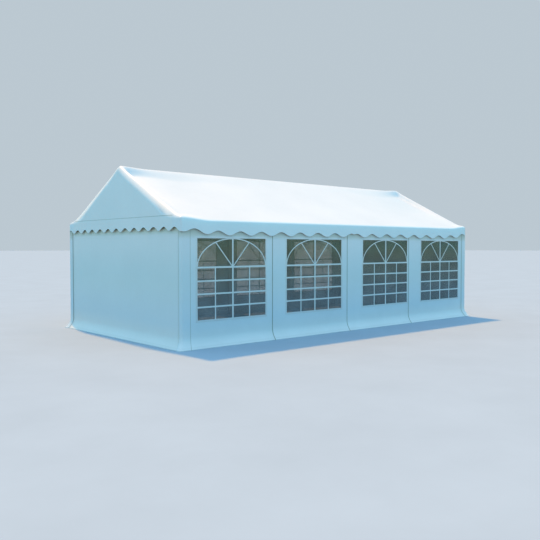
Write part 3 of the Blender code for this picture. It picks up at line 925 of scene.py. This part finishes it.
def make_cover(context):
    """Builds the cover and its bound edge, in place of the part's roof, gables and valances."""
    sizes = context.scene.marquee_sizes
    points, faces, uv, shades, edge, outward = cover_surface(sizes.roof_sag)
    cover = piece(
        "cover", points, faces, cloth_material(context, "white_cover"), uv, shades
    )
    thicken(cover, sizes.cloth)
    nodes = [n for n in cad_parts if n.startswith(("roof_panel", "gable_", "valance"))]
    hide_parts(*nodes)
    bound, bound_faces = edge_binding(edge, outward, sizes.cloth)
    binding = piece(
        "cover_edge_binding", bound, bound_faces,
        shared("edge_binding", coated_cloth, *BINDING, False),
        bound[:, :2], sharp=50,
    )


# Walls

def flare(height):
    """How far a wall stands out at a height: a parabola that ends at FLARE_HEIGHT."""
    return FLARE * np.clip(1 - height / FLARE_HEIGHT, 0, None) ** 2


def wall_plan(u, out, half_run, half_side):
    """Place of a wall's outer face in plan, with the direction that it faces.

    u runs along the wall from its middle, then round the corner's arc and on along the next
    side. out is how far the cloth stands out at that height. The corner's round grows with out
    about a centre that moves outward along the mitre, and the straight cloth is stretched
    toward the corner by an exponential of the distance to it. At the right end the cloth stands
    off the leg along one S, and comes back to the next side along another.
    """
    smallest = np.where(u < 0, *CORNER_ROUND)
    start = half_run - smallest
    over = np.abs(u) - start
    before, after = SLACK_RUN
    turn, late = SLACK_END
    slack = smooth_step(1 + over / before) * smooth_step(late - (over - smallest * turn) / after)
    out = out + CORNER_SLACK * slack * (u > 0) * (half_run > half_side)
    radius = smallest + np.where(u < 0, *CORNER_GROWTH) * out
    centre_run = half_run + out - radius
    centre_side = half_side + out - radius
    angle = np.clip(over / smallest, 0, math.pi / 2)
    beyond = np.clip(over - smallest * math.pi / 2, 0, None) * (1 + RETURN_GROWTH * out)
    pulled = (centre_run - start) * np.exp(np.clip(over, None, 0) / STRETCH)
    run = np.where(over <= 0, np.abs(u) + pulled, centre_run + radius * np.sin(angle))
    side = centre_side + radius * np.cos(angle) - beyond
    face_run = np.where(over <= 0, 0.0, np.sin(angle)) * np.sign(u)
    face_side = np.where(over <= 0, 1.0, np.cos(angle))
    return run * np.sign(u), side, face_run, face_side


def wall_grid(u, z, half_run, half_side, proud):
    """Points of a wall over lines u and heights z, in the front's own axes, facing -Y."""
    run, side, face_run, face_side = wall_plan(u, flare(z), half_run, half_side)
    run = run + proud * face_run
    side = side + proud * face_side
    return np.stack([run, -side, z], axis=-1)


def ripples(u, z, amount, seed):
    """Soft hanging ripples: three sines along the wall, strongest near the ground."""
    waves = sum(
        share * np.sin(2 * math.pi * u / length + phase * seed)
        for share, length, phase in RIPPLE_WAVES
    )
    late, run = RIPPLE_FADE
    return amount * waves * (RIPPLE_LEAST + (1 - RIPPLE_LEAST) * smooth_step(late - z / run))


def lines(low, high, step, extra):
    """Evenly spaced lines from low to high with the extra ones let in, and none too close."""
    even = np.linspace(low, high, int(math.ceil((high - low) / step)) + 1)
    extra = np.array([e for e in extra if low <= e <= high])
    gap = np.abs(even[:, None] - extra[None, :]).min(axis=1)
    near = gap < step * GIVES_WAY[1]
    near[[0, -1]] = gap[[0, -1]] < 1e-6
    return np.unique(np.round(np.concatenate([even[~near], extra]), 5))


def line_mark(values, place, width):
    """1 on the place and 0 a width away from it."""
    return np.clip(1 - np.abs(values - place) / width, 0, 1)


def hem_mark(z):
    """The faint mark of the hem's weld."""
    height, width, strength = HEM
    return line_mark(z, height, width) * strength


def upright_mark(z):
    """How strongly a seam at a corner shows at a height: it is fainter near the ground."""
    return UPRIGHT_LEAST + rise(z, *UPRIGHT_MARK)


def side_wall(index, quarter, side_name, context):
    """One bay of a long wall, its window cut out; the end bays turn the corner.

    The left edge of each bay lies over its neighbour, so the cloth stands out there.
    """
    sizes = context.scene.marquee_sizes
    reach = [WALL_X - r + r * math.pi / 2 + (WALL_Y - r - RETURN_EDGE) for r in CORNER_ROUND]
    bounds = (-reach[0], *SEAMS, reach[1])
    low, seam = bounds[index], bounds[index + 1]
    is_first, is_last = index == 0, index == BAYS - 1
    high = seam if is_last else seam + LAP
    middle = WINDOW_X[index]
    half = WINDOW_WIDTH / 2
    corner = [
        s * (WALL_X - r + r * math.pi / 2 * t)
        for s, r in zip((-1, 1), CORNER_ROUND) for t in np.linspace(0, 1, 9)
    ]
    beside = [place + d for place in (*WELD_LINES, low, seam) for d in BESIDE]
    along, upward = WALL_GRID
    u = lines(low, high, along, [middle - half, middle + half, low, high, *corner, *beside])
    first_row = FLARE_ROWS[-1]
    z = lines(first_row, WALL_TOP, upward, [first_row, WINDOW_BOTTOM, WINDOW_TOP, WALL_TOP])
    z = np.concatenate([FLARE_ROWS[:-1], z])
    uu, zz = np.meshgrid(u, z, indexing="ij")

    weld = np.maximum(*(line_mark(uu, w, width) for w, width in zip(WELD_LINES, WELD_WIDTHS)))
    # Dark marks of welds, laps and the hem, and painted shade on the wall just below the valance
    mark = np.maximum.reduce([
        weld * WELD_STRENGTH,
        line_mark(uu, low, LAP_MARKS[0]) * (upright_mark(zz) if is_first else 1.0),
        line_mark(uu, seam, LAP_MARKS[1]) * (upright_mark(zz) if is_last else 1.0),
        hem_mark(zz),
        rise(zz, *SIDE_TOP_MARK),
    ])
    up_run, side_run = STEADY_RUN
    loose = smooth_step(np.maximum(STEADY[0] - zz, zz - STEADY[1]) / up_run)
    loose = np.maximum(loose, smooth_step(np.abs(uu - middle) / side_run - half / side_run))
    proud = ripples(uu, zz, sizes.ripple, 1.0 + index + 2 * quarter) * loose
    step, run = LAP_STEP
    step = step * smooth_step(1 - (uu - low) / run) * (not is_first)
    tuck, run = TUCK
    tuck = tuck * smooth_step((uu - seam + run) / run) * (not is_last)
    points = wall_grid(uu, zz, WALL_X, WALL_Y, proud + step - tuck - WELD_DEPTH * weld)

    quads = grid_quads(len(u), len(z))
    centre_u = uu.ravel()[quads].mean(axis=1)
    centre_z = zz.ravel()[quads].mean(axis=1)
    hole = np.abs(centre_u - middle) < half
    hole &= (centre_z > WINDOW_BOTTOM) & (centre_z < WINDOW_TOP)
    # under_cover is painted shade as well, where the valance shades the wall
    wall = piece(
        f"wall_cloth_{side_name}_{index + 1}", turned(points, quarter), quads[~hole],
        cloth_material(context, "white_wall"), np.stack([uu, zz], -1),
        {"seam": mark, "under_cover": rise(zz, *SIDE_TOP_TINT)},
    )
    thicken(wall, sizes.cloth)
    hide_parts(f"wall_{side_name}_{index + 1}")
    return wall, float(high - low)


def end_wall(quarter, end_name, context):
    """A plain end wall, tucked under the side walls' returns, up to the slopes of the roof.

    Its rows run level up to the shoulder, close up there where the roof comes down to them, and
    climb from it in even shares to the roof's own line.
    """
    sizes = context.scene.marquee_sizes
    low, high = SHOULDER
    last_level, levels, closing, climbing = END_ROWS
    beside = [s * w for s in (-1, 1) for w in (RETURN_EDGE, *RETURN_COLUMNS)]
    u = lines(-END_HALF, END_HALF, WALL_GRID[0], [0.0, *beside])
    level = np.concatenate([
        FLARE_ROWS[:-1],
        np.linspace(FLARE_ROWS[-1], last_level, levels),
        np.linspace(low, high, closing),
    ])
    climb = np.linspace(0, 1, climbing + 1)[1:]
    rows = np.concatenate([level, np.full(len(climb), high)])
    share = np.concatenate([np.zeros(len(level)), climb])
    uu, zz = np.meshgrid(u, rows, indexing="ij")
    top = RIDGE_HEIGHT - SLOPE * np.abs(uu) - END_GAP
    shoulder = np.minimum(high, top - SHOULDER_GAP)
    squeezed = low + (zz - low) * (shoulder - low) / (high - low)
    zz = np.where(zz > low, squeezed, zz) + share[None, :] * (top - shoulder)

    side, run = RIPPLE_SIDE
    proud = ripples(uu, zz, sizes.ripple * RIPPLE_MORE, 5.0 + quarter)
    proud = proud * smooth_step((side - np.abs(uu)) / run) - END_BACK
    away, back = SLACK_UP
    slack = smooth_step((zz - low) / away) * smooth_step((high - zz) / back)
    side, run = SLACK_SIDE
    proud = proud - END_SLACK * slack * smooth_step((side - np.abs(uu)) / run)
    points = wall_grid(uu, zz, WALL_Y, WALL_X, proud)
    inside, width = RETURN_MARK
    returns = line_mark(np.abs(uu), RETURN_EDGE - inside, width) * upright_mark(zz)
    # The seam marks hold the returns' edges, the hem and painted shade below the valance
    marks = {
        "seam": np.maximum.reduce([returns, hem_mark(zz), rise(zz, *END_TOP_MARK)]),
        "under_cover": rise(zz, *END_TOP_TINT),
        # painted warm light over the whole end wall
        "end_painted_warmth": np.ones_like(uu),
    }
    wall = piece(
        f"wall_cloth_{end_name}_end", turned(points, quarter), grid_quads(*uu.shape),
        cloth_material(context, "white_wall"), np.stack([uu, zz], -1), marks,
    )
    thicken(wall, sizes.cloth)
    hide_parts(f"end_wall_{end_name}")


# Windows

def flat_strip(path, width, height, side):
    """A welded strip along a path in the wall's plane: a low bar with eased edges."""
    ease = min(STRIP_EASE, width / 4)
    profile = [
        (-width / 2, -STRIP_FOOT), (-width / 2, height * 0.5), (-width / 2 + ease, height),
        (width / 2 - ease, height), (width / 2, height * 0.5), (width / 2, -STRIP_FOOT),
    ]
    return sweep(path, side, np.broadcast_to(OUTWARD, path.shape), profile)


def straight(start, end, width, height):
    """A straight strip between two points of the wall's plane."""
    path = np.array([start, end], float)
    along = (path[1] - path[0]) / np.linalg.norm(path[1] - path[0])
    return flat_strip(path, width, height, np.broadcast_to(np.cross(OUTWARD, along), path.shape))


def window_border(middle, width):
    """The welded border: a low profile carried round the opening's rectangle with mitres.

    At a corner the side direction is the diagonal (1, 1), so both runs keep their width. The
    path has the profile on its other hand than a sweep expects, so the faces are turned over.
    """
    profile = [
        (-0.004, -0.0035), (-0.004, 0.0012), (-0.0015, 0.0020), (width - 0.002, 0.0020),
        (width, 0.0008), (width, -0.0012),
    ]
    diagonal = np.array([(-1, 0, -1), (1, 0, -1), (1, 0, 1), (-1, 0, 1)], float)
    centre = np.array([middle, -WALL_Y, (WINDOW_TOP + WINDOW_BOTTOM) / 2])
    half = np.array([WINDOW_WIDTH / 2, 0.0, (WINDOW_TOP - WINDOW_BOTTOM) / 2])
    up = np.broadcast_to(OUTWARD, diagonal.shape)
    points, faces = sweep(centre + diagonal * half, diagonal, up, profile, closed_path=True)
    return points, np.array(faces)[:, [0, 3, 2, 1]].tolist()


def window_bars(middle, bar):
    """The bars welded on the film: a middle upright, an arch with two spokes over a spring
    bar, and below it three cross bars and two thinner uprights.

    The arch is half an ellipse from side to side that touches the top.
    """
    face = -WALL_Y + BAR_FOOT
    half = WINDOW_WIDTH / 2
    top, bottom = WINDOW_TOP + BAR_LAP, WINDOW_BOTTOM - BAR_LAP
    spring = WINDOW_TOP - CROSS_BARS[0]

    def strip(kind, start, end):
        share, height = BARS[kind]
        ends = ((middle + across, face, up) for across, up in (start, end))
        return straight(*ends, bar * share, height)

    shells = [strip("upright", (0, bottom), (0, top))]
    for drop in CROSS_BARS:
        kind = "spring" if drop == CROSS_BARS[0] else "cross"
        height = WINDOW_TOP - drop
        shells.append(strip(kind, (-half - BAR_LAP, height), (half + BAR_LAP, height)))
    for across in (-half / 2, half / 2):
        shells.append(strip("thin", (across, bottom), (across, spring)))
    angle = np.linspace(0.0, math.pi, ARCH_POINTS)
    wide, tall = half - ARCH_INSET[0], WINDOW_TOP - spring - ARCH_INSET[1]
    path = np.stack(
        [middle + wide * np.cos(angle), np.full_like(angle, face), spring + tall * np.sin(angle)],
        axis=-1,
    )
    side = np.stack([np.cos(angle) / wide, 0 * angle, np.sin(angle) / tall], axis=-1)
    side /= np.linalg.norm(side, axis=1)[:, None]
    share, height = BARS["arch"]
    shells.append(flat_strip(path, bar * share, height, -side))
    lift = tall * math.sqrt(1 - SPOKE_END ** 2)
    for hand in (-1, 1):
        shells.append(strip("spoke", (0, spring), (hand * half * SPOKE_END, spring + lift)))
    return shells


def window(index, quarter, side_name, context):
    """The film behind one opening, with its border and bars."""
    sizes = context.scene.marquee_sizes
    middle = WINDOW_X[index]
    half = WINDOW_WIDTH / 2 + FILM_LAP
    u = np.linspace(middle - half, middle + half, FILM_GRID[0])
    z = np.linspace(WINDOW_BOTTOM - FILM_LAP, WINDOW_TOP + FILM_LAP, FILM_GRID[1])
    uu, zz = np.meshgrid(u, z, indexing="ij")
    height, along, upward = FILM_WAVE
    wave = height * np.sin(along * uu + index) * np.sin(upward * zz + 2 * index)
    points = np.stack([uu, -WALL_Y + FILM_BACK + wave, zz], axis=-1)
    film = piece(
        f"window_film_{side_name}_{index + 1}", turned(points, quarter), grid_quads(*uu.shape),
        shared("smoky_film", clear_film, tuple(context.scene.marquee_colours.film)),
        np.stack([uu, zz], -1),
    )
    thicken(film, sizes.film)
    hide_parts(f"window_{side_name}_{index + 1}")
    strips, faces = joined([window_border(middle, sizes.border), *window_bars(middle, sizes.bar)])
    bars = piece(
        f"window_bars_{side_name}_{index + 1}", turned(strips, quarter), faces,
        shared("welded_strip", coated_cloth, *STRIP, False),
        strips[:, [0, 2]], sharp=35,
    )
    return film, bars


def make_windowed_walls(context):
    """Both long sides: cloth, film and bars of every bay."""
    for quarter, side_name in ((0, "front"), (2, "back")):
        for index in range(BAYS):
            wall, width = side_wall(index, quarter, side_name, context)
            film, bars = window(index, quarter, side_name, context)


# Frame

def finish_frame(context):
    """Zinc on every tube, connector and foot that the part brings."""
    steel = shared("galvanised_steel", galvanised, tuple(context.scene.marquee_colours.steel))
    for name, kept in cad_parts.items():
        if name.startswith(("leg_", "roof_frame", "ridge_purlin", "front_eave", "back_eave")):
            for holder in kept.material_slots:
                holder.link = "OBJECT"
                holder.material = steel


# Stage

def make_floor(scene):
    """A wide even floor, just below the ground line."""
    steps = np.linspace(-1, 1, FLOOR_STEPS) * FLOOR_REACH
    xx, yy = np.meshgrid(steps, steps, indexing="ij")
    ground = np.stack([xx, yy, 0 * xx - FLOOR_DROP], axis=-1)
    mesh = bpy.data.meshes.new("studio_floor")
    mesh.from_pydata(ground.reshape(-1, 3).tolist(), [], grid_quads(*xx.shape).tolist())
    mesh.materials.append(
        shared("studio_floor", studio_floor, tuple(scene.marquee_colours.floor))
    )
    floor = bpy.data.objects.new("studio_floor", mesh)
    scene.collection.objects.link(floor)


def make_fill(scene):
    """Cool fill light from all round, and a plain backdrop where the camera looks past it."""
    world = bpy.data.worlds.new("studio")
    world.use_nodes = True
    scene.world = world
    tree = world.node_tree
    tree.nodes.clear()
    up = height_of(tree, node(tree, "ShaderNodeTexCoord").outputs["Generated"])
    cool = mixed(tree, up, (*FILL_LOW, 1.0), (*FILL_HIGH, 1.0))
    light = node(tree, "ShaderNodeBackground", {"Color": cool, "Strength": 1.0})
    seen = node(tree, "ShaderNodeBackground", {"Color": (*BACKDROP, 1.0), "Strength": 1.0})
    both = for_camera(tree, light.outputs[0], seen.outputs[0])
    node(tree, "ShaderNodeOutputWorld", {"Surface": both})


def make_key(scene):
    """The warm key light, high and from behind."""
    light = bpy.data.lights.new("key_light", "SUN")
    light.energy = KEY_POWER
    light.angle = math.radians(KEY_ANGLE)
    light.color = KEY_COLOUR
    key = bpy.data.objects.new("key_light", light)
    key.rotation_euler = Vector(KEY_DIRECTION).to_track_quat("Z", "Y").to_euler()
    scene.collection.objects.link(key)


def make_camera(scene):
    """The photograph's camera."""
    lens = bpy.data.cameras.new("camera")
    lens.sensor_width = SENSOR
    lens.lens = FOCAL_LENGTH * SENSOR / PHOTO_SIDE
    lens.clip_end = VIEW_END
    camera = bpy.data.objects.new("camera", lens)
    camera.location = CAMERA_PLACE
    level = math.cos(CAMERA_PITCH)
    ahead = Vector((
        level * math.cos(CAMERA_YAW), level * math.sin(CAMERA_YAW), -math.sin(CAMERA_PITCH)
    ))
    camera.rotation_euler = ahead.to_track_quat("-Z", "Y").to_euler()
    scene.collection.objects.link(camera)
    scene.camera = camera


def make_stage(context):
    """Pale floor, warm high light from behind, cool fill and the photograph's camera."""
    scene = context.scene
    scene.view_settings.view_transform = "Standard"
    make_floor(scene)
    make_fill(scene)
    make_key(scene)
    make_camera(scene)


class MARQUEE_OT_cover(bpy.types.Operator):
    """Build the cover with its scalloped valances"""

    bl_idname = "marquee.cover"
    bl_label = "Cover"

    def execute(self, context):
        make_cover(context)
        return {"FINISHED"}


class MARQUEE_OT_windowed_walls(bpy.types.Operator):
    """Build the long walls with their windows"""

    bl_idname = "marquee.windowed_walls"
    bl_label = "Windowed walls"

    def execute(self, context):
        make_windowed_walls(context)
        return {"FINISHED"}


class MARQUEE_OT_end_walls(bpy.types.Operator):
    """Build the plain end walls"""

    bl_idname = "marquee.end_walls"
    bl_label = "End walls"

    def execute(self, context):
        end_wall(3, "left", context)
        end_wall(1, "right", context)
        return {"FINISHED"}


class MARQUEE_OT_frame(bpy.types.Operator):
    """Give the steel frame its zinc finish"""

    bl_idname = "marquee.frame"
    bl_label = "Frame"

    def execute(self, context):
        finish_frame(context)
        return {"FINISHED"}


class MARQUEE_OT_stage(bpy.types.Operator):
    """Set the floor, light and camera"""

    bl_idname = "marquee.stage"
    bl_label = "Stage"

    def execute(self, context):
        make_stage(context)
        return {"FINISHED"}


class MARQUEE_PT_panel(bpy.types.Panel):
    """Lists the sizes, the colours, and the pieces in the order they are built"""

    bl_idname = "MARQUEE_PT_panel"
    bl_label = "Marquee"
    bl_space_type = "VIEW_3D"
    bl_region_type = "UI"
    bl_category = "Marquee"

    def draw(self, context):
        layout = self.layout
        for group in (context.scene.marquee_sizes, context.scene.marquee_colours):
            box = layout.box()
            for key in group.__annotations__:
                box.prop(group, key)
        for operator in OPERATORS:
            layout.operator(operator.bl_idname)


OPERATORS = (
    MARQUEE_OT_cover,
    MARQUEE_OT_windowed_walls,
    MARQUEE_OT_end_walls,
    MARQUEE_OT_frame,
    MARQUEE_OT_stage,
)
CLASSES = (MarqueeSizes, MarqueeColours, *OPERATORS, MARQUEE_PT_panel)


def register():
    for kind in CLASSES:
        bpy.utils.register_class(kind)
    bpy.types.Scene.marquee_sizes = bpy.props.PointerProperty(type=MarqueeSizes)
    bpy.types.Scene.marquee_colours = bpy.props.PointerProperty(type=MarqueeColours)


def unregister():
    del bpy.types.Scene.marquee_colours
    del bpy.types.Scene.marquee_sizes
    for kind in reversed(CLASSES):
        bpy.utils.unregister_class(kind)


def main():
    """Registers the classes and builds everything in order."""
    register()
    bpy.ops.marquee.cover()
    bpy.ops.marquee.windowed_walls()
    bpy.ops.marquee.end_walls()
    bpy.ops.marquee.frame()
    bpy.ops.marquee.stage()
    bpy.context.view_layer.update()


if __name__ == "__main__":
    main()
